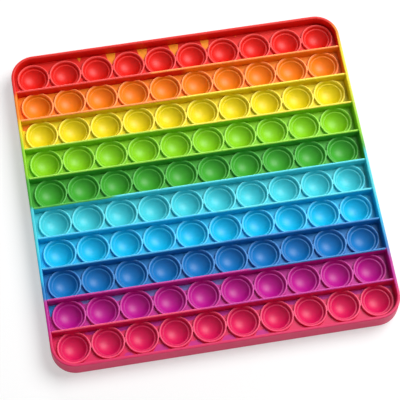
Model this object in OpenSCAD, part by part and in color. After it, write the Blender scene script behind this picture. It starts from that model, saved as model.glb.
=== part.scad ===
// Square bubble board, moulded in one piece of soft silicone.
// A thin web stretches across a rounded rim. Cross ribs part the web into rows,
// and every row carries bubbles that are shown pressed in, each inside a raised collar.
// The board lies flat on its rim: X runs along a row, Y from row to row, Z up.

/* [Board] */
// Number of bubbles in a row
columns = 10; // [2:1:12]
// Number of rows
rows = 10; // [2:1:12]
// Overall height of the rim
board_h = 11.2; // [10.4:0.1:14]
// Outer radius of the four corners, seen from above
corner_r = 14.3; // [8:0.1:18]
// Floor between the outermost collars and the rim
edge_gap = 1.15; // [0.8:0.05:6]

/* [Web] */
// Thickness of the web between the bubbles
web_t = 1.5; // [1:0.1:2.2]
// Depth of the web below the upper edge of the rim
web_drop = 6.3; // [5.4:0.1:7]

/* [Rim] */
// Width of the rim at its upper and lower edges
rim_crest_w = 1.8; // [1.4:0.1:2.4]
// Width of the rim where it meets the web
rim_root_w = 2.4; // [2:0.1:3.4]
// Radius of the rounding along the edges of the rim
rim_edge_r = 0.6; // [0.3:0.05:0.65]
// How far the outside of the rim leans in from the web to its upper and lower edges
rim_lean = 0.1; // [0.05:0.05:0.3]

/* [Ribs] */
// Width of a rib at its rounded crest
rib_crest_w = 1.1; // [0.8:0.1:1.6]
// Width of a rib where it meets the web
rib_root_w = 2.4; // [1.8:0.1:3]
// How far the crests of the ribs stay inside the edges of the rim
rib_step = 0.3; // [0.1:0.1:1]

/* [Collars] */
// Radius of the circle along which a collar crest runs
collar_r = 9.1; // [8.4:0.1:11]
// Width of the rounded collar crest
collar_crest_w = 1; // [0.6:0.05:1.2]
// Space between neighbouring collars, which a bridge closes
collar_gap = 0.1; // [0.05:0.05:1]
// Length of the bridge between neighbouring collars
bridge_l = 3; // [2:0.1:4]
// How far the top of a bridge stays below the collar crests
bridge_drop = 0.15; // [0.1:0.05:0.4]
// Height of a collar above the web
collar_h = 1.7; // [1.2:0.1:2.4]
// Height of the shallow collar below the web
lower_collar_h = 0.7; // [0.5:0.1:1]

/* [Bubbles] */
// Width of the slope from a collar crest in to the hinge ledge
slope_w = 1.4; // [1.2:0.05:1.8]
// Depth of the hinge ledge below the collar crest
ledge_drop = 2; // [1.6:0.1:2.4]
// Width of the flat part of the hinge ledge
ledge_w = 0.6; // [0.4:0.1:1]
// Radius of the fold where the ledge turns down into the bowl
fold_r = 0.35; // [0.25:0.05:0.5]
// Thickness of the hinge ledge
ledge_t = 1; // [0.8:0.1:1.4]
// Wall thickness of the dome
dome_t = 0.8; // [0.6:0.1:1.2]
// Space between a pressed-in dome and the surface that the rim stands on
dome_gap = 0.25; // [0.1:0.05:1]

/* [Hidden] */
$fn = 48;

// Plan of the board: the collars set the pitch, and the rim follows the outermost collars
collar_outer_r = collar_r + collar_crest_w / 2;
pitch = 2 * collar_outer_r + collar_gap;
edge_margin = collar_outer_r + edge_gap + rim_root_w;
board_w = (columns - 1) * pitch + 2 * edge_margin;
board_d = (rows - 1) * pitch + 2 * edge_margin;

// Levels above the surface that the rim stands on
web_top = board_h - web_drop;
web_bottom = web_top - web_t;
web_middle = (web_top + web_bottom) / 2;
collar_top = web_top + collar_h;
lower_collar_bottom = web_bottom - lower_collar_h;
ledge_top = collar_top - ledge_drop;
ledge_bottom = ledge_top - ledge_t;
bowl_floor = dome_gap + dome_t;

// Section of the hinge, as distances from the bubble's axis and levels
ledge_edge = [collar_r - slope_w, ledge_top];
fold = [ledge_edge[0] - ledge_w, ledge_top - fold_r];

// Share of a round's radius at which its neighbours start, so that they run a hair inside its curve
SEAT = 0.98;

// The bowl is a cap of a ball that passes through its lowest point and meets the fold
fold_seat = fold_r * SEAT;
fold_h = fold[1] - bowl_floor;
bowl_r = (fold[0] * fold[0] + fold_h * fold_h - fold_seat * fold_seat) / (2 * (fold_h + fold_seat));
bowl_centre = [0, bowl_floor + bowl_r];

// Colours of the rows, from the near one to the far one
ROW_COLOURS = ["#d91540", "#b3148a", "#0a6fc4", "#10b4ec", "#18bfc4",
               "#178a1c", "#84cf14", "#ecd912", "#f57a0a", "#e01212"];

// Centres of the bubbles, counted from the near left one
function bubble_x(i) = (i - (columns - 1) / 2) * pitch;
function bubble_y(j) = (j - (rows - 1) / 2) * pitch;

// Colour of a row, which starts again after the last one
function row_colour(j) = ROW_COLOURS[j % len(ROW_COLOURS)];

// Unit vector at an angle
function heading(a) = [cos(a), sin(a)];

// The same point on the other side of the middle line
function across(p) = [-p[0], p[1]];

// Where a wall that rises from a point meets a round crest, on one side (side = 1) or the other (side = -1)
function touch_point(from, centre, r, side) =
    let (gap = from - centre, seat_r = r * SEAT, swing = acos(seat_r / norm(gap)))
    centre + seat_r * heading(atan2(gap[1], gap[0]) + side * swing);

// Section of a rib: it stands on both sides of the web and narrows to rounded crests
module rib_section() {
    r = rib_crest_w / 2;
    root = [rib_root_w / 2, web_middle];
    upper = [0, board_h - rib_step - r];
    lower = [0, rib_step + r];
    upper_wall = touch_point(root, upper, r, 1);
    lower_wall = touch_point(root, lower, r, -1);
    polygon([
        lower,
        lower_wall,
        root,
        upper_wall,
        upper,
        across(upper_wall),
        across(root),
        across(lower_wall),
    ]);
    translate(upper) circle(r);
    translate(lower) circle(r);
}

// Section of the rim, measured from the centre line of a corner: X is the distance outwards
module rim_section() {
    r = rim_edge_r;
    outside = [corner_r, web_middle];
    inside = [corner_r - rim_root_w, web_middle];
    outer_x = corner_r - rim_lean - r;
    inner_x = corner_r - rim_lean - rim_crest_w + r;
    low = r;
    high = board_h - r;
    polygon([
        outside,
        touch_point(outside, [outer_x, high], r, 1),
        [outer_x, high],
        [outer_x, board_h],
        [inner_x, board_h],
        [inner_x, high],
        touch_point(inside, [inner_x, high], r, -1),
        inside,
        touch_point(inside, [inner_x, low], r, 1),
        [inner_x, low],
        [inner_x, 0],
        [outer_x, 0],
        [outer_x, low],
        touch_point(outside, [outer_x, low], r, -1),
    ]);
    for (x = [inner_x, outer_x], z = [low, high])
        translate([x, z]) circle(r);
}

// Section of a bubble from its axis outwards: pressed-in dome, hinge ledge, slope and collar
module bubble_section() {
    r = collar_crest_w / 2;
    crest = [collar_r, collar_top - r];
    wall_x = collar_r + r * SEAT;
    difference() {
        union() {
            polygon([
                [fold[0] - fold_r, ledge_bottom],
                [ledge_edge[0], ledge_bottom],
                [collar_r, lower_collar_bottom],
                [wall_x, lower_collar_bottom],
                [wall_x, crest[1]],
                crest,
                touch_point(ledge_edge, crest, r, -1),
                ledge_edge,
                [fold[0], ledge_top],
            ]);
            translate(crest) circle(r);
            translate(fold) circle(fold_r);
            dome_section();
        }
        translate(bowl_centre) circle(bowl_r);
    }
}

// Section of the dome's outside: part of a ball that ends inside the fold
module dome_section() {
    to_centre = bowl_centre - fold;
    fold_side = fold + fold_r * to_centre / norm(to_centre);
    intersection() {
        translate(bowl_centre) circle(bowl_r + dome_t);
        polygon([
            [0, 0],
            [ledge_edge[0], 0],
            [ledge_edge[0], ledge_bottom],
            fold,
            fold_side,
            [0, fold_side[1]],
        ]);
    }
}

// Bubbles of the whole board, each a turned section
module bubbles() {
    for (i = [0 : columns - 1], j = [0 : rows - 1])
        color(row_colour(j))
            translate([bubble_x(i), bubble_y(j), 0])
                rotate_extrude() bubble_section();
}

// Holes for the bubbles in a flat sheet, each as wide as the circle of a collar crest
module bubble_holes() {
    for (i = [0 : columns - 1], j = [0 : rows - 1])
        translate([bubble_x(i), bubble_y(j)]) circle(collar_r);
}

// Bridges that join the collars of a row to each other
module bridges() {
    translate([0, 0, lower_collar_bottom])
        linear_extrude(collar_top - bridge_drop - lower_collar_bottom)
            difference() {
                for (j = [0 : rows - 1])
                    translate([0, bubble_y(j)]) square([(columns - 1) * pitch, bridge_l], center = true);
                bubble_holes();
            }
}

// Square with round corners
module rounded_square(w, d, r) {
    square([w, d - 2 * r], center = true);
    square([w - 2 * r, d], center = true);
    for (x = [-1, 1], y = [-1, 1])
        translate([x * (w / 2 - r), y * (d / 2 - r)]) circle(r);
}

// Web between the bubbles, which reaches into the rim and into the collars
module web() {
    inset = rim_root_w / 2;
    translate([0, 0, web_bottom])
        linear_extrude(web_t)
            difference() {
                rounded_square(board_w - 2 * inset, board_d - 2 * inset, corner_r - inset);
                bubble_holes();
            }
}

// Rib between two rows, from rim wall to rim wall
module rib(y) {
    length = board_w - rim_root_w;
    translate([-length / 2, y, 0])
        rotate([90, 0, 90])
            linear_extrude(length) rib_section();
}

// Rim: at each corner a quarter turn of its section, and the straight side that runs on from it
module rim() {
    for (corner = [0 : 3]) {
        w = corner % 2 == 0 ? board_w : board_d;
        d = corner % 2 == 0 ? board_d : board_w;
        rotate([0, 0, 90 * corner])
            translate([w / 2 - corner_r, d / 2 - corner_r, 0]) {
                rotate_extrude(angle = 90) rim_section();
                rotate([90, 0, 0]) linear_extrude(d - 2 * corner_r) rim_section();
            }
    }
}

// The whole board, one moulding
module bubble_board() {
    color(row_colour(0)) rim();
    color(row_colour(1)) web();
    color(row_colour(2)) bridges();
    for (j = [0 : rows - 2])
        color(row_colour(j)) rib(bubble_y(j) + pitch / 2);
    bubbles();
}

bubble_board();
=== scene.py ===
"""Looks of a square bubble board: one moulding of soft silicone, poured row by row in ten colours.

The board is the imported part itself, and this script gives it its silicone. Where two colours met in
the mould they ran into each other, so the ribs, the rim and the floor between the bubbles change
colour off the line between two rows. The board lies on a pale floor under soft studio light.
"""

import logging
import math
from dataclasses import dataclass
from enum import Enum
from typing import Union

import bpy
from mathutils import Matrix, Vector


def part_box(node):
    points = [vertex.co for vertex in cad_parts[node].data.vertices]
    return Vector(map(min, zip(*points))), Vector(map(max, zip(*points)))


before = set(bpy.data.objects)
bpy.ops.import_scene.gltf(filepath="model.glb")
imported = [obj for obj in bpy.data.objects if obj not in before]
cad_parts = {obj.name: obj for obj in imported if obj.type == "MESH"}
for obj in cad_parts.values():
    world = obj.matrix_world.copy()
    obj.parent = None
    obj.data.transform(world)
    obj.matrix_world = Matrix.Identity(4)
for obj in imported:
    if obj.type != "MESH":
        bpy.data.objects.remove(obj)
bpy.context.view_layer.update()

LOG = logging.getLogger("bubble_board")
MM = 0.001
WHITE = (1.0, 1.0, 1.0, 1.0)

# Half of the way from one bubble or row to the next, in pitches
HALF_PITCH = 0.5

# Value that every noise swings around
NOISE_MIDDLE = 0.5

# Largest difference, in pitches, at which two places across the rows count as the same
SAME_PLACE = 0.2

Socket = bpy.types.NodeSocket
Value = Union[Socket, float]


class Pigment(Enum):
    """Colours of the rows, from the far row to the near one, as sRGB hex."""

    RED = "d81202"
    ORANGE = "ea7d00"
    YELLOW = "e4ce03"
    LIME = "84c70a"
    GREEN = "3a9e26"
    TURQUOISE = "3fc7d2"
    SKY = "00b6e0"
    BLUE = "0072b6"
    MAGENTA = "b20488"
    PINK = "d00b55"

    @property
    def linear(self) -> tuple[float, float, float, float]:
        """The pigment as linear light, by the sRGB curve, with full alpha."""
        channels = [int(self.value[k : k + 2], 16) / 255 for k in (0, 2, 4)]
        return (*[c / 12.92 if c <= 0.04045 else ((c + 0.055) / 1.055) ** 2.4 for c in channels], 1.0)


class Side(Enum):
    """Side of a row, as a factor of the direction towards the near edge of the board."""

    FAR = -1.0
    NEAR = 1.0


class Mixed(Enum):
    """What a Mix node mixes: its data type, the numbers of its inputs, and that of its output."""

    VALUES = ("FLOAT", (0, 2, 3), 0)
    COLOURS = ("RGBA", (0, 6, 7), 2)


@dataclass(frozen=True)
class BoardPlan:
    """Plan of the board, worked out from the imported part's box.

    Args:
        node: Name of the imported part's node.
        columns: Bubbles in a row.
        rows: Number of rows.
        edge_margin: Distance from the outermost bubbles' centres to the edge of the board.
        corner_r: Outer radius of the corners.
        rim_w: Width of the rim at the web.
        rim_crest_w: Width of its rounded crest, with the lean of its outside.
        rib_w: Width of a rib at the web.
        collar_outer_r: Outer radius of a collar.
        rib_step: How far the rib crests stay below the rim's.
        crest_w: Width of the rounded crest of a rib.
        collar_drop: Depth of the collar crests below the rim's.
    """

    node: str = "bubble_board"
    columns: int = 10
    rows: int = 10
    edge_margin: float = 13.15 * MM
    corner_r: float = 14.3 * MM
    rim_w: float = 2.4 * MM
    rim_crest_w: float = 1.9 * MM
    rib_w: float = 2.4 * MM
    collar_outer_r: float = 9.6 * MM
    rib_step: float = 0.3 * MM
    crest_w: float = 1.1 * MM
    collar_drop: float = 4.6 * MM

    @property
    def half(self) -> float:
        """Half of the board's side."""
        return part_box(self.node)[1].x

    @property
    def height(self) -> float:
        """Height of the rim above the floor."""
        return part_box(self.node)[1].z

    @property
    def pitch(self) -> float:
        """Distance from bubble to bubble."""
        return 2 * (self.half - self.edge_margin) / (self.columns - 1)

    @property
    def rib_foot(self) -> float:
        """Distance from a row's middle to the foot of a rib, in pitches."""
        return HALF_PITCH - self.rib_w / 2 / self.pitch

    @property
    def rim_foot(self) -> float:
        """Distance from the middle of an outermost row to the foot of the rim, in pitches."""
        return (self.edge_margin - self.rim_w) / self.pitch


@dataclass(frozen=True)
class ColourChange:
    """Place where one row's colour gives way to the next.

    Args:
        at: Where both are equally strong, as a row number.
        over: Half of the stretch that the change takes, in rows.
    """

    at: float
    over: float


@dataclass(frozen=True)
class RibPour:
    """Colours of one rib, as row numbers counted from the far row.

    Args:
        crest: Row colours of its crest at the left and at the right end.
        crest_at: Column where the crest changes from one to the other.
        wall: Row colours of its walls at the left and at the right end.
        wall_at: Column where the walls change.
        spread: Columns that the change takes.
    """

    crest: tuple[float, float]
    crest_at: float
    wall: tuple[float, float]
    wall_at: float
    spread: float = 0.5


@dataclass(frozen=True)
class FloorBleed:
    """A neighbour's colour on the floor of a row.

    Args:
        row: The row that it shows in.
        shift: Rows from there to the colour that it shows.
        side: Side of the row that it starts from.
        start: Column where it starts.
        end: Column where it ends.
        reach: How far it comes in from the side, in pitches.
        fade: Columns that it takes to start and to end.
        gap: Half of its width at each gap between two bubbles, in pitches. At a half it runs on unbroken.
        taper: Part of that over which it gets shallower.
    """

    row: int
    shift: float
    side: Side
    start: float
    end: float
    reach: float
    fade: float = 0.6
    gap: float = HALF_PITCH
    taper: float = 0.2

    @property
    def broken(self) -> bool:
        """Whether it shows only at the gaps between two bubbles."""
        return self.gap < HALF_PITCH


@dataclass(frozen=True)
class Pattern:
    """A noise pattern.

    Args:
        scale: Waves in a metre.
        detail: Number of finer layers.
        rough: Strength of the finer layers.
    """

    scale: float
    detail: float = 3.0
    rough: float = 0.6


RIB_POURS = (
    RibPour(crest=(0.0, 1.0), crest_at=3.6, wall=(0.0, 0.75), wall_at=4.6, spread=1.2),
    RibPour(crest=(1.0, 2.0), crest_at=4.4, wall=(1.5, 1.56), wall_at=1.5, spread=1.6),
    RibPour(crest=(2.55, 2.3), crest_at=5.0, wall=(3.0, 2.6), wall_at=5.0, spread=5.0),
    RibPour(crest=(3.3, 3.2), crest_at=5.0, wall=(4.0, 3.9), wall_at=5.0),
    RibPour(crest=(4.2, 5.2), crest_at=2.0, wall=(5.0, 5.4), wall_at=2.0, spread=1.2),
    RibPour(crest=(5.6, 5.4), crest_at=5.0, wall=(6.4, 6.4), wall_at=5.0),
    RibPour(crest=(6.5, 6.6), crest_at=5.0, wall=(7.0, 7.0), wall_at=5.0),
    RibPour(crest=(8.0, 7.0), crest_at=5.6, wall=(8.0, 7.8), wall_at=6.5, spread=1.2),
    RibPour(crest=(8.85, 8.4), crest_at=3.0, wall=(9.0, 8.7), wall_at=4.0, spread=4.0),
)

FLOOR_BLEEDS = (
    FloorBleed(
        row=0, shift=1.43, side=Side.FAR, start=1.7, end=6.1, reach=0.40, fade=1.1, gap=0.15, taper=0.07
    ),
    FloorBleed(row=2, shift=-1.0, side=Side.FAR, start=-1.0, end=0.1, reach=0.16, fade=0.3),
    FloorBleed(row=8, shift=-1.0, side=Side.FAR, start=-1.0, end=0.2, reach=0.30, fade=0.2),
    FloorBleed(row=8, shift=-0.54, side=Side.FAR, start=0.2, end=5.2, reach=0.20, fade=0.9, gap=0.30),
    FloorBleed(row=9, shift=-1.0, side=Side.FAR, start=0.2, end=9.6, reach=0.14, fade=0.8, gap=0.32),
    FloorBleed(row=9, shift=-0.55, side=Side.NEAR, start=1.2, end=6.2, reach=0.26, fade=0.8, gap=0.30),
)

# Where the rim changes from each row's colour to the next, which isn't where the rows do
LEFT_RIM = (
    ColourChange(at=0.65, over=0.08),
    ColourChange(at=1.60, over=0.20),
    ColourChange(at=2.15, over=0.40),
    ColourChange(at=3.50, over=0.12),
    ColourChange(at=4.50, over=0.06),
    ColourChange(at=6.10, over=0.20),
    ColourChange(at=7.00, over=0.12),
    ColourChange(at=7.50, over=0.06),
    ColourChange(at=8.58, over=0.20),
)
RIGHT_RIM = (
    ColourChange(at=-0.30, over=0.12),
    ColourChange(at=0.35, over=0.40),
    ColourChange(at=2.35, over=0.60),
    ColourChange(at=3.75, over=0.25),
    ColourChange(at=4.20, over=0.14),
    ColourChange(at=5.75, over=0.35),
    ColourChange(at=6.80, over=0.55),
    ColourChange(at=7.65, over=0.22),
    ColourChange(at=8.75, over=0.25),
)

# Where the rows' own colours change, with a short mixed stretch between two of them
ROW_CHANGES = tuple(ColourChange(at=row + HALF_PITCH, over=0.10) for row in range(len(Pigment) - 1))


class Graph:
    """Adds nodes to a node tree, so that a formula reads from top to bottom.

    Args:
        tree: The node tree that the nodes go into.
    """

    def __init__(self, tree: bpy.types.NodeTree) -> None:
        self.tree = tree

    def node(self, kind: str, **settings: object) -> bpy.types.Node:
        """Adds a node.

        Args:
            kind: Blender's type name of the node.
            settings: Attributes to set on it.

        Returns:
            The new node.
        """
        node = self.tree.nodes.new(kind)
        for name, value in settings.items():
            setattr(node, name, value)
        return node

    def feed(self, socket: Socket, value: object) -> None:
        """Links an output to an input, or sets a plain value on it.

        Args:
            socket: The input.
            value: An output socket, a number or a tuple.
        """
        if isinstance(value, bpy.types.NodeSocket):
            self.tree.links.new(value, socket)
        else:
            socket.default_value = value

    def math(self, operation: str, *values: Value, clamp: bool = False) -> Socket:
        """Adds a Math node.

        Args:
            operation: Name of the operation.
            values: Its inputs, in order.
            clamp: Whether the result stays between 0 and 1.

        Returns:
            The result.
        """
        node = self.node("ShaderNodeMath", operation=operation, use_clamp=clamp)
        for socket, value in zip(node.inputs, values):
            self.feed(socket, value)
        return node.outputs[0]

    def ramp(self, value: Value, low: float, high: float, start: Value = 0.0, end: Value = 1.0) -> Socket:
        """Maps a value smoothly from one range to another, and holds it at both ends.

        Args:
            value: The value.
            low: Where the change starts.
            high: Where it ends.
            start: Result up to low.
            end: Result from high on.

        Returns:
            The mapped value.
        """
        node = self.node("ShaderNodeMapRange", interpolation_type="SMOOTHSTEP")
        names = ("Value", "From Min", "From Max", "To Min", "To Max")
        for name, given in zip(names, (value, low, high, start, end)):
            self.feed(node.inputs[name], given)
        return node.outputs["Result"]

    def blend(self, share: Value, first: Value, second: Value) -> Socket:
        """Mixes two values: the first one at a share of 0, and the second one at a share of 1."""
        return self._mix(Mixed.VALUES, share, first, second)

    def tint(self, share: Value, first: object, second: object) -> Socket:
        """Mixes two colours: the first one at a share of 0, and the second one at a share of 1."""
        return self._mix(Mixed.COLOURS, share, first, second)

    def _mix(self, kind: Mixed, *given: object) -> Socket:
        """Adds a Mix node.

        Args:
            kind: What it mixes.
            given: The share of the second one, the first one and the second one.

        Returns:
            The mixture.
        """
        data_type, inputs, output = kind.value
        node = self.node("ShaderNodeMix", data_type=data_type)
        for number, value in zip(inputs, given):
            self.feed(node.inputs[number], value)
        return node.outputs[output]

    def noise(self, vector: Socket, pattern: Pattern) -> Socket:
        """Adds a noise that swings around its middle.

        Args:
            vector: Where it is read.
            pattern: Its pattern.

        Returns:
            The noise value.
        """
        node = self.node("ShaderNodeTexNoise")
        given = (vector, pattern.scale, pattern.detail, pattern.rough)
        for name, value in zip(("Vector", "Scale", "Detail", "Roughness"), given):
            self.feed(node.inputs[name], value)
        return node.outputs["Fac"]


def background_rays(g: Graph) -> Socket:
    """Picks the rays that show the white background: from the camera, off a gloss and through glass.

    Args:
        g: The graph.

    Returns:
        1 for such a ray and 0 for the others.
    """
    path = g.node("ShaderNodeLightPath")
    shown = g.math("MAXIMUM", path.outputs["Is Camera Ray"], path.outputs["Is Transmission Ray"])
    return g.math("MAXIMUM", shown, path.outputs["Is Glossy Ray"])


@dataclass(frozen=True)
class Place:
    """Sockets that say where a point lies on the board.

    Args:
        x: Distance from the middle of the board to the right.
        y: Distance from there towards the far edge.
        z: Height above the floor.
        column: Place along a row, as a bubble number.
        row: Place across the rows, as a row number counted from the far row.
        own_row: Number of the nearest row.
        across: Distance from the nearest bubble's middle to the right, in pitches.
        along: Distance from the row's middle towards the near edge, in pitches.
        wave: Fine noise around 0, which makes borders wander.
        drift: Coarse noise around 0, which moves the places where colours change.
    """

    x: Socket
    y: Socket
    z: Socket
    column: Socket
    row: Socket
    own_row: Socket
    across: Socket
    along: Socket
    wave: Socket
    drift: Socket


@dataclass(frozen=True)
class PourMap:
    """Where each colour of silicone lies on the board.

    Args:
        plan: Plan of the board.
        ribs: Pours of the ribs, from the far one to the near one.
        bleeds: Bleeds on the floors.
        left_rim: Colour changes along the left rim, from the far edge to the near one.
        right_rim: The same for the right rim.
        side_turn: Share of the board's half side, from its middle, over which one gives way to the other.
        wave: Fine noise.
        drift: Coarse noise.
        wander: How far the wave moves a bleed's border, in pitches for its whole swing.
        crest_wander: The same for the lower border of a rib crest's colour, in widths of the crest.
        rib_drift: How far the drift moves the changes along a rib, in columns for its whole swing.
        rim_drift: The same for the changes along the rim, in rows.
        blur: Half of the width over which a bleed fades out at its border, in pitches.
        gap_edge: How far past its width a bleed is still seen at a gap, in pitches.
        least_reach: Smallest reach at which a bleed is seen, in pitches.
        seam: Distance over which the floor gives way to a rib or a collar, in pitches.
        rim_seam: The same for the rim.
        rim_turn: How far past the inner edge of the rim's crest the rim's own colours start.
        highlight_top: Depth below the top of a crest down to which its band of painted highlight is at its
            strongest.
        highlight_foot: Depth at which that painted highlight has faded out.
        rim_highlight: Share of it that shows on the rim.
    """

    plan: BoardPlan
    ribs: tuple[RibPour, ...] = RIB_POURS
    bleeds: tuple[FloorBleed, ...] = FLOOR_BLEEDS
    left_rim: tuple[ColourChange, ...] = LEFT_RIM
    right_rim: tuple[ColourChange, ...] = RIGHT_RIM
    side_turn: float = 0.3
    wave: Pattern = Pattern(scale=90.0)
    drift: Pattern = Pattern(scale=22.0, detail=1.0, rough=0.5)
    wander: float = 0.20
    crest_wander: float = 0.6
    rib_drift: float = 1.6
    rim_drift: float = 0.1
    blur: float = 0.045
    gap_edge: float = 0.02
    least_reach: float = 0.03
    seam: float = 0.006
    rim_seam: float = 0.1 * MM
    rim_turn: float = 0.2 * MM
    # band of painted highlight along the crest tops, between these depths below them
    highlight_top: float = 0.40 * MM
    highlight_foot: float = 1.10 * MM
    rim_highlight: float = 0.1

    def group(self) -> bpy.types.NodeTree:
        """Builds the node group that gives the silicone's colour at a place.

        Returns:
            A group with a Position input and the outputs Colour and Crest, the crests' mask for their
            painted highlight.
        """
        tree = bpy.data.node_groups.new("poured_rows", "ShaderNodeTree")
        tree.interface.new_socket("Position", in_out="INPUT", socket_type="NodeSocketVector")
        tree.interface.new_socket("Colour", in_out="OUTPUT", socket_type="NodeSocketColor")
        tree.interface.new_socket("Crest", in_out="OUTPUT", socket_type="NodeSocketFloat")
        g = Graph(tree)
        place = self._place(g, g.node("NodeGroupInput").outputs["Position"])
        out = g.node("NodeGroupOutput")

        on_rib = self._rib_mask(g, place)
        reach = self._reach(g, place)
        on_rim = self._rim_mask(g, reach, self.plan.rim_w)
        past_crest = self._rim_mask(g, reach, self.plan.rim_crest_w - self.rim_turn)

        row = g.blend(self._floor_mask(g, place), place.own_row, self._floor_row(g, place))
        row = g.blend(on_rib, row, self._rib_row(g, place))
        row = g.blend(on_rim, row, place.own_row)
        inside = self._pigments(g, row, ROW_CHANGES)
        g.feed(out.inputs["Colour"], g.tint(past_crest, inside, self._rim_colour(g, place)))
        g.feed(out.inputs["Crest"], self._crest_mask(g, place, on_rib, on_rim))
        return tree

    def _place(self, g: Graph, position: Socket) -> Place:
        """Works out where a point lies.

        Args:
            g: The graph.
            position: The point, in the board's frame.

        Returns:
            Its place on the board.
        """
        split = g.node("ShaderNodeSeparateXYZ")
        g.feed(split.inputs[0], position)
        x, y, z = split.outputs
        column = g.math("MULTIPLY_ADD", x, 1 / self.plan.pitch, (self.plan.columns - 1) / 2)
        row = g.math("MULTIPLY_ADD", y, -1 / self.plan.pitch, (self.plan.rows - 1) / 2)
        own_row = self._nearest(g, row, self.plan.rows)
        return Place(
            x=x,
            y=y,
            z=z,
            column=column,
            row=row,
            own_row=own_row,
            across=g.math("SUBTRACT", column, self._nearest(g, column, self.plan.columns)),
            along=g.math("SUBTRACT", row, own_row),
            wave=g.math("SUBTRACT", g.noise(position, self.wave), NOISE_MIDDLE),
            drift=g.math("SUBTRACT", g.noise(position, self.drift), NOISE_MIDDLE),
        )

    def _nearest(self, g: Graph, value: Socket, count: int) -> Socket:
        """Number of the nearest bubble or row to a place in pitches, where there are count of them."""
        least = g.math("MAXIMUM", g.math("ROUND", value), 0.0)
        return g.math("MINIMUM", least, float(count - 1))

    def _length(self, g: Graph, first: Socket, second: Socket) -> Socket:
        """Length of the slope over two distances at right angles."""
        squares = [g.math("MULTIPLY", side, side) for side in (first, second)]
        return g.math("SQRT", g.math("ADD", *squares))

    def _floor_mask(self, g: Graph, place: Place) -> Socket:
        """Mask of all that lies outside the collars.

        Args:
            g: The graph.
            place: Place on the board.

        Returns:
            0 on a bubble and its collar, and 1 elsewhere.
        """
        edge = self.plan.collar_outer_r / self.plan.pitch
        radius = self._length(g, place.across, place.along)
        return g.ramp(radius, edge - self.seam, edge)

    def _floor_row(self, g: Graph, place: Place) -> Socket:
        """Row colours on the floor between the bubbles, with its bleeds.

        Args:
            g: The graph.
            place: Place on the board.

        Returns:
            The row number that gives the colour.
        """
        row = place.own_row
        for bleed in self.bleeds:
            row = g.math("MULTIPLY_ADD", self._bleed_mask(g, place, bleed), bleed.shift, row)
        return row

    def _bleed_mask(self, g: Graph, place: Place, bleed: FloorBleed) -> Socket:
        """Mask of one bleed.

        Args:
            g: The graph.
            place: Place on the board.
            bleed: The bleed.

        Returns:
            1 where its colour shows and 0 elsewhere.
        """
        at_rim = bleed.row == (0 if bleed.side is Side.FAR else self.plan.rows - 1)
        foot = self.plan.rim_foot if at_rim else self.plan.rib_foot
        rise = g.ramp(place.column, bleed.start - bleed.fade, bleed.start + bleed.fade)
        fall = g.ramp(place.column, bleed.end - bleed.fade, bleed.end + bleed.fade, 1.0, 0.0)
        strength = g.math("MULTIPLY", rise, fall)
        depth = g.math("MULTIPLY", strength, bleed.reach)
        if bleed.broken:
            from_gap = g.math("SUBTRACT", HALF_PITCH, g.math("ABSOLUTE", place.across))
            past_width = g.math("MULTIPLY_ADD", strength, -bleed.gap, from_gap)
            shallower = g.ramp(past_width, -bleed.taper, self.gap_edge, 1.0, 0.0)
            depth = g.math("MULTIPLY", depth, shallower)
        border = g.math("SUBTRACT", foot, g.math("MULTIPLY_ADD", place.wave, self.wander, depth))
        past_border = g.math("SUBTRACT", g.math("MULTIPLY", place.along, bleed.side.value), border)
        covered = g.ramp(past_border, -self.blur, self.blur)
        in_row = g.math("COMPARE", place.own_row, float(bleed.row), SAME_PLACE)
        deep_enough = g.math("GREATER_THAN", depth, self.least_reach)
        return g.math("MULTIPLY", covered, g.math("MULTIPLY", in_row, deep_enough))

    def _rib_mask(self, g: Graph, place: Place) -> Socket:
        """Mask of the ribs, walls and crests.

        Args:
            g: The graph.
            place: Place on the board.

        Returns:
            1 on a rib and 0 elsewhere.
        """
        foot = self.plan.rib_foot
        past_foot = g.ramp(g.math("ABSOLUTE", place.along), foot - self.seam, foot)
        after_first = g.math("GREATER_THAN", place.row, 0.0)
        before_last = g.math("LESS_THAN", place.row, float(self.plan.rows - 1))
        return g.math("MULTIPLY", past_foot, g.math("MULTIPLY", after_first, before_last))

    def _rib_row(self, g: Graph, place: Place) -> Socket:
        """Row colours of the ribs.

        Args:
            g: The graph.
            place: Place on the board.

        Returns:
            The row number that gives the colour.
        """
        crest_z = self.plan.height - self.plan.rib_step - self.plan.crest_w
        lifted = g.math("MULTIPLY_ADD", place.wave, self.crest_wander * self.plan.crest_w, place.z)
        on_crest = g.ramp(lifted, crest_z, crest_z + self.plan.crest_w / 2)
        moved = g.math("MULTIPLY_ADD", place.drift, self.rib_drift, place.column)
        row = place.row
        for number, pour in enumerate(self.ribs):
            half = pour.spread / 2
            crest = g.ramp(moved, pour.crest_at - half, pour.crest_at + half, *pour.crest)
            wall = g.ramp(moved, pour.wall_at - half, pour.wall_at + half, *pour.wall)
            here = g.math("COMPARE", place.row, number + HALF_PITCH, SAME_PLACE)
            row = g.blend(here, row, g.blend(on_crest, wall, crest))
        return row

    def _reach(self, g: Graph, place: Place) -> Socket:
        """Distance outwards from the line on which the corners' centres lie.

        Args:
            g: The graph.
            place: Place on the board.

        Returns:
            The distance, which is the corners' radius all along the board's edge.
        """
        straight = self.plan.half - self.plan.corner_r
        past = [g.math("SUBTRACT", g.math("ABSOLUTE", side), straight) for side in (place.x, place.y)]
        return self._length(g, *[g.math("MAXIMUM", side, 0.0) for side in past])

    def _rim_mask(self, g: Graph, reach: Socket, width: float) -> Socket:
        """Mask of the board's outermost strip of a width: 1 on the strip and 0 inside it."""
        inner = self.plan.corner_r - width
        return g.ramp(reach, inner - self.rim_seam, inner)

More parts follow.
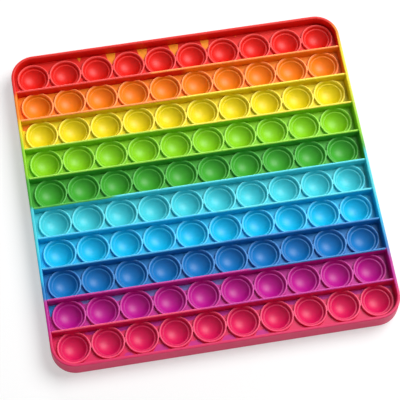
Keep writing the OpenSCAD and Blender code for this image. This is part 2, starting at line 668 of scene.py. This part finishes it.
    def _crest_mask(self, g: Graph, place: Place, on_rib: Socket, on_rim: Socket) -> Socket:
        """Mask of the band along the rounded crests of collars, ribs and rim that gets the painted
        highlight and the smoother skin.

        Args:
            g: The graph.
            place: Place on the board.
            on_rib: Mask of the ribs.
            on_rim: Mask of the rim.

        Returns:
            1 along the top of a crest and 0 elsewhere.
        """
        rim_top = self.plan.height
        top = g.blend(on_rib, rim_top - self.plan.collar_drop, rim_top - self.plan.rib_step)
        top = g.blend(on_rim, top, rim_top)
        # painted highlight: strongest just below each crest's top, faded out further down
        band = g.ramp(g.math("SUBTRACT", top, place.z), self.highlight_foot, self.highlight_top, 0.0, 1.0)
        return g.math("MULTIPLY", band, g.blend(on_rim, 1.0, self.rim_highlight))

    def _rim_colour(self, g: Graph, place: Place) -> Socket:
        """Colour of the rim, whose two sides don't keep step with the rows.

        Args:
            g: The graph.
            place: Place on the board.

        Returns:
            The colour.
        """
        turn = self.side_turn * self.plan.half
        moved = g.math("MULTIPLY_ADD", place.drift, self.rim_drift, place.row)
        left, right = (self._pigments(g, moved, side) for side in (self.left_rim, self.right_rim))
        return g.tint(g.ramp(place.x, -turn, turn), left, right)

    def _pigments(self, g: Graph, row: Socket, changes: tuple[ColourChange, ...]) -> Socket:
        """Lays the pigments one after another along the rows, from half a pitch before the first row.

        Args:
            g: The graph.
            row: The row number, which may lie between two rows.
            changes: Where each pigment gives way to the next.

        Returns:
            The colour.
        """
        count = float(self.plan.rows)
        pigments = [pigment.linear for pigment in Pigment]
        stops = []
        for change, before, after in zip(changes, pigments, pigments[1:]):
            stops += [(change.at - change.over, before), (change.at + change.over, after)]
        node = g.node("ShaderNodeValToRGB")
        g.feed(node.inputs[0], g.math("DIVIDE", g.math("ADD", row, HALF_PITCH), count))
        elements = node.color_ramp.elements
        for element, (at, colour) in zip(elements, (stops[0], stops[-1])):
            element.position = (at + HALF_PITCH) / count
            element.color = colour
        for at, colour in stops[1:-1]:
            elements.new((at + HALF_PITCH) / count).color = colour
        return node.outputs["Color"]


@dataclass(frozen=True)
class SatinSilicone:
    """Satin moulded silicone in the colours of the pour.

    Args:
        pour: Where each colour lies.
        roughness: Roughness of the moulded skin.
        roughness_swing: How far the roughness varies from place to place.
        grain: Pattern of the skin's grain.
        grain_depth: Depth of the grain.
        grain_strength: Strength of the grain.
        clouds: Pattern of the pigment's strength.
        cloud: How far the pigment's strength varies.
        sheen_and_wear: Pattern of the roughness and of the painted crest highlight's strength.
        crest_highlight: Share of a paler tone of the same hue that the crests get as painted highlight.
        highlight_saturation: Saturation of that painted highlight's tone, as a factor.
        highlight_value: Brightness of that painted highlight's tone, as a factor.
        polish: How much smoother the crests are.
        gloss: Specular level of the skin.
    """

    pour: PourMap
    roughness: float = 0.47
    roughness_swing: float = 0.10
    grain: Pattern = Pattern(scale=2600.0)
    grain_depth: float = 0.006 * MM
    grain_strength: float = 0.6
    clouds: Pattern = Pattern(scale=260.0, detail=4.0, rough=0.65)
    cloud: float = 0.10
    sheen_and_wear: Pattern = Pattern(scale=700.0)
    # painted highlight: share of a paler tone of the row's own hue laid on the crests
    crest_highlight: float = 0.9
    highlight_saturation: float = 0.91
    highlight_value: float = 1.35
    polish: float = 0.06
    gloss: float = 0.40

    def material(self) -> bpy.types.Material:
        """Builds the material.

        Returns:
            The silicone.
        """
        made = bpy.data.materials.new("satin_silicone")
        made.use_nodes = True
        g = Graph(made.node_tree)
        shader = made.node_tree.nodes["Principled BSDF"]
        position = g.node("ShaderNodeTexCoord").outputs["Object"]
        pour = g.node("ShaderNodeGroup", node_tree=self.pour.group())
        g.feed(pour.inputs["Position"], position)
        colour, crest = pour.outputs["Colour"], pour.outputs["Crest"]
        # one noise for the roughness and for the uneven strength of the painted crest highlight
        sheen_and_wear_noise = g.noise(position, self.sheen_and_wear)

        shader.inputs["Specular IOR Level"].default_value = self.gloss
        g.feed(shader.inputs["Base Color"], self._colour(g, position, colour, crest, sheen_and_wear_noise))
        g.feed(shader.inputs["Roughness"], self._roughness(g, crest, sheen_and_wear_noise))
        g.feed(shader.inputs["Normal"], self._grain(g, position))
        return made

    def _colour(self, g: Graph, position: Socket, colour: Socket, crest: Socket, sheen_and_wear_noise: Socket) -> Socket:
        """Colour of the skin, cloudy and with a painted highlight on the crests.

        Args:
            g: The graph.
            position: Place on the board.
            colour: Colour of the pour.
            crest: Mask of the crests.
            sheen_and_wear_noise: Noise that makes the painted highlight uneven.

        Returns:
            The colour.
        """
        strength = g.math("MULTIPLY_ADD", g.noise(position, self.clouds), self.cloud, 1.0 - self.cloud / 2)
        cloudy = g.node("ShaderNodeHueSaturation")
        g.feed(cloudy.inputs["Color"], colour)
        g.feed(cloudy.inputs["Value"], strength)
        # paler, brighter copy of the colour, used as the painted highlight on the crests
        highlight_tone = g.node("ShaderNodeHueSaturation")
        g.feed(highlight_tone.inputs["Color"], cloudy.outputs["Color"])
        g.feed(highlight_tone.inputs["Saturation"], self.highlight_saturation)
        g.feed(highlight_tone.inputs["Value"], self.highlight_value)
        # painted highlight: the paler tone mixed in along the crests, unevenly
        uneven = g.math("MULTIPLY", crest, g.math("ADD", sheen_and_wear_noise, 1.0 - NOISE_MIDDLE))
        share = g.math("MULTIPLY", uneven, self.crest_highlight, clamp=True)
        return g.tint(share, cloudy.outputs["Color"], highlight_tone.outputs["Color"])

    def _roughness(self, g: Graph, crest: Socket, sheen_and_wear_noise: Socket) -> Socket:
        """Roughness of the skin, which the crests have less of.

        Args:
            g: The graph.
            crest: Mask of the crests.
            sheen_and_wear_noise: Noise of the roughness.

        Returns:
            The roughness.
        """
        low = self.roughness - self.roughness_swing / 2
        moulded = g.math("MULTIPLY_ADD", sheen_and_wear_noise, self.roughness_swing, low)
        return g.math("MULTIPLY_ADD", crest, -self.polish, moulded)

    def _grain(self, g: Graph, position: Socket) -> Socket:
        """Fine grain of the skin.

        Args:
            g: The graph.
            position: Place on the board.

        Returns:
            The normal.
        """
        bump = g.node("ShaderNodeBump")
        g.feed(bump.inputs["Height"], g.noise(position, self.grain))
        g.feed(bump.inputs["Distance"], self.grain_depth)
        g.feed(bump.inputs["Strength"], self.grain_strength)
        return bump.outputs["Normal"]


@dataclass(frozen=True)
class StudioFloor:
    """Pale floor that keeps the object's shadow.

    Args:
        size: Side of the floor.
        colour: Grey level of its surface, as it lights the board.
        seen_colour: Grey level that it has as the background.
        glow: Even light that it adds there, which brings it up to white.
        roughness: Roughness of its surface.
    """

    size: float = 6.0
    colour: float = 0.80
    seen_colour: float = 0.50
    glow: float = 0.50
    roughness: float = 0.9

    def build(self) -> bpy.types.Object:
        """Builds the floor.

        Returns:
            The floor.
        """
        half = self.size / 2
        corners = [(-half, -half, 0.0), (half, -half, 0.0), (half, half, 0.0), (-half, half, 0.0)]
        mesh = bpy.data.meshes.new("studio_floor")
        mesh.from_pydata(corners, [], [(0, 1, 2, 3)])
        floor = bpy.data.objects.new("studio_floor", mesh)
        bpy.context.scene.collection.objects.link(floor)
        mesh.materials.append(self.material())
        return floor

    def material(self) -> bpy.types.Material:
        """Builds the floor's material.

        Returns:
            A matt white, which is a little brighter as the background than as light on the board.
        """
        made = bpy.data.materials.new("studio_white")
        made.use_nodes = True
        g = Graph(made.node_tree)
        shader = made.node_tree.nodes["Principled BSDF"]
        shader.inputs["Roughness"].default_value = self.roughness
        shader.inputs["Specular IOR Level"].default_value = 0.0
        shader.inputs["Emission Color"].default_value = WHITE
        seen = background_rays(g)
        g.feed(shader.inputs["Base Color"], g.blend(seen, self.colour, self.seen_colour))
        g.feed(shader.inputs["Emission Strength"], g.math("MULTIPLY", seen, self.glow))
        return made


@dataclass(frozen=True)
class SoftLight:
    """One soft round lamp that looks at the board.

    Args:
        name: Name of the lamp.
        azimuth: Direction that it stands in, in degrees from +X towards +Y.
        elevation: Its height, in degrees above the floor.
        watts: Its power.
        width: Its diameter.
        distance: Its distance from the middle of the board.
    """

    name: str
    azimuth: float
    elevation: float
    watts: float
    width: float
    distance: float = 1.6

    def build(self) -> bpy.types.Object:
        """Builds the lamp.

        Returns:
            The lamp.
        """
        turn, rise = math.radians(self.azimuth), math.radians(self.elevation)
        towards = Vector((math.cos(rise) * math.cos(turn), math.cos(rise) * math.sin(turn), math.sin(rise)))
        lamp = bpy.data.lights.new(self.name, "AREA")
        lamp.shape = "DISK"
        lamp.size = self.width
        lamp.energy = self.watts
        light = bpy.data.objects.new(self.name, lamp)
        bpy.context.scene.collection.objects.link(light)
        light.location = towards * self.distance
        light.rotation_euler = (-towards).to_track_quat("-Z", "Y").to_euler()
        return light


@dataclass(frozen=True)
class Studio:
    """Floor, lamps, room light and camera.

    Args:
        floor: The floor.
        lights: The lamps.
        room: Strength of the even light of the room.
        target: Point that the camera looks at.
        distance: Distance from it to the camera.
        elevation: Camera's height, in degrees above the floor.
        heading: Direction that it looks in, in degrees from +Y towards +X.
        roll: Its tilt, in degrees.
        lens: Its focal length, in millimetres.
        sensor: Width of its sensor, in millimetres.
        sight: Distance up to which it sees.
    """

    floor: StudioFloor = StudioFloor()
    lights: tuple[SoftLight, ...] = (
        SoftLight("key", azimuth=25, elevation=51, watts=33.5, width=1.25),
        SoftLight("back", azimuth=90, elevation=15, watts=8, width=0.5),
        SoftLight("front", azimuth=262, elevation=7, watts=5, width=0.34),
    )
    room: float = 0.12
    target: tuple[float, float, float] = (-1.7 * MM, -8.6 * MM, 6.6 * MM)
    distance: float = 1.0281
    elevation: float = 65.03
    heading: float = 11.46
    roll: float = 1.86
    lens: float = 158.9
    sensor: float = 36.0
    sight: float = 20.0

    def build(self) -> None:
        """Builds the whole studio."""
        for piece in (self.floor, *self.lights):
            built = piece.build()
            LOG.info("built %s", built.name)
        self._room()
        self._camera()

    def _room(self) -> None:
        """Sets the world: white as the background, and dim and even as light on the board."""
        world = bpy.data.worlds.new("studio_room")
        bpy.context.scene.world = world
        world.use_nodes = True
        g = Graph(world.node_tree)
        background = world.node_tree.nodes["Background"]
        background.inputs["Color"].default_value = WHITE
        g.feed(background.inputs["Strength"], g.blend(background_rays(g), self.room, 1.0))

    def _camera(self) -> None:
        """Adds the camera at the photograph's viewing angle."""
        rise, turn, roll = (math.radians(a) for a in (self.elevation, self.heading, self.roll))
        ahead = Vector((math.cos(rise) * math.sin(turn), math.cos(rise) * math.cos(turn), -math.sin(rise)))
        level = ahead.cross(Vector((0.0, 0.0, 1.0))).normalized()
        upright = level.cross(ahead)
        right = level * math.cos(roll) + upright * math.sin(roll)
        up = upright * math.cos(roll) - level * math.sin(roll)
        camera = bpy.data.objects.new("camera", bpy.data.cameras.new("camera"))
        bpy.context.scene.collection.objects.link(camera)
        camera.data.lens = self.lens
        camera.data.sensor_width = self.sensor
        camera.data.clip_end = self.sight
        pose = Matrix((right, up, -ahead)).transposed().to_4x4()
        pose.translation = Vector(self.target) - ahead * self.distance
        camera.matrix_world = pose
        bpy.context.scene.camera = camera


@dataclass(frozen=True)
class BubbleBoard:
    """The board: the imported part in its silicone.

    Args:
        plan: Plan of the board.
    """

    plan: BoardPlan = BoardPlan()

    def dress(self) -> bpy.types.Object:
        """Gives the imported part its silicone.

        Returns:
            The dressed part.
        """
        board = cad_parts[self.plan.node]
        silicone = SatinSilicone(PourMap(self.plan)).material()
        for slot in board.material_slots:
            slot.material = silicone
        return board


def main() -> None:
    """Builds the studio, dresses the board and reports each piece."""
    logging.basicConfig(level=logging.INFO, format="%(name)s: %(message)s")
    bpy.context.scene.view_settings.view_transform = "Standard"
    Studio().build()
    board = BubbleBoard().dress()
    LOG.info("dressed %s with %d faces", board.name, len(board.data.polygons))


if __name__ == "__main__":
    main()
